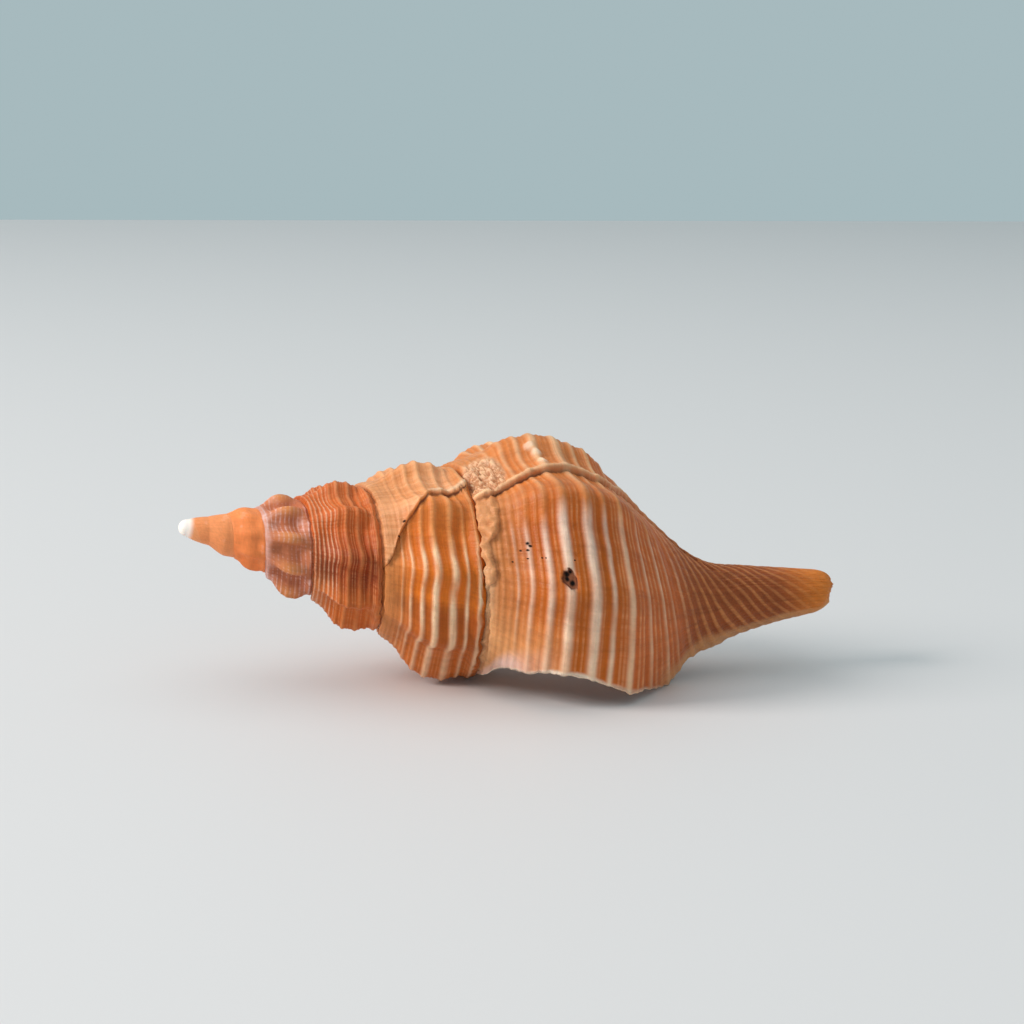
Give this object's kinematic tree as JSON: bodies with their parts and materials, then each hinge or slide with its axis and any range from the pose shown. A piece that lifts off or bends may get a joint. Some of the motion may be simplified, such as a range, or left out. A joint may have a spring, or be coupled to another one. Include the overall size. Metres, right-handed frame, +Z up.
{
  "type": "horse conch shell",
  "caption": "Spindle-shaped sea snail shell: stepped knobbly spire, swollen spirally ridged last whorl, open mouth beneath and a long open canal.",
  "frame": {"origin": "centre of the bounding box's base, on the surface the shell lies on", "axes": "+X along the shell's length from the spire's tip towards the canal, +Z up; the outer lip is towards -Y"},
  "size_m": [0.092, 0.0382, 0.0353],
  "materials": {
    "shell": "satin, banded"
  },
  "bodies": {
    "root": {"shell": "shell"}
  },
  "joints": []
}
